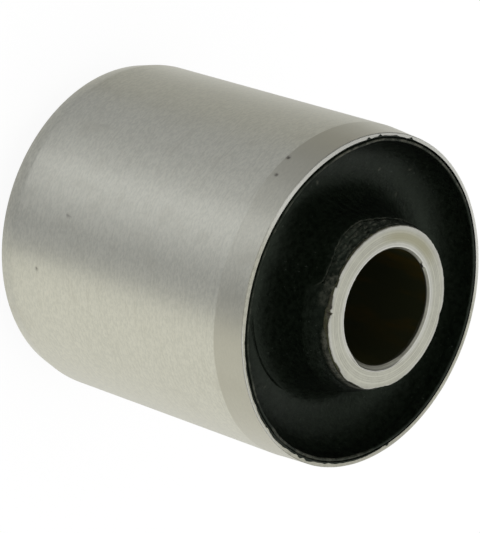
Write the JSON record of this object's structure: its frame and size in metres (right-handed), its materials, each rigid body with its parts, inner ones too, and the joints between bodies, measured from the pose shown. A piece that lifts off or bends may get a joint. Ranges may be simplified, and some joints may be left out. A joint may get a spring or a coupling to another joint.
{
  "type": "rubber metal bush",
  "caption": "Bonded rubber bush: a ground steel outer sleeve, a steel inner sleeve that stands proud of it at both ends, and a rubber ring with hollowed ends moulded between them.",
  "frame": {"origin": "centre of the lower end face of the inner sleeve, on the bush's axis", "axes": "+Z along the bush's axis, towards the end with the longer lead-in taper; X and Y are any two directions across it"},
  "size_m": [0.03, 0.03, 0.036],
  "materials": {
    "ground_steel": "ground round the axis, satin, slightly mottled",
    "black_rubber": "smooth moulded rubber with flash and a torn collar",
    "turned_steel": "faced with fine concentric turning marks"
  },
  "bodies": {
    "root": {"outer_sleeve": "ground_steel", "rubber_body": "black_rubber", "inner_sleeve": "turned_steel"}
  },
  "joints": []
}
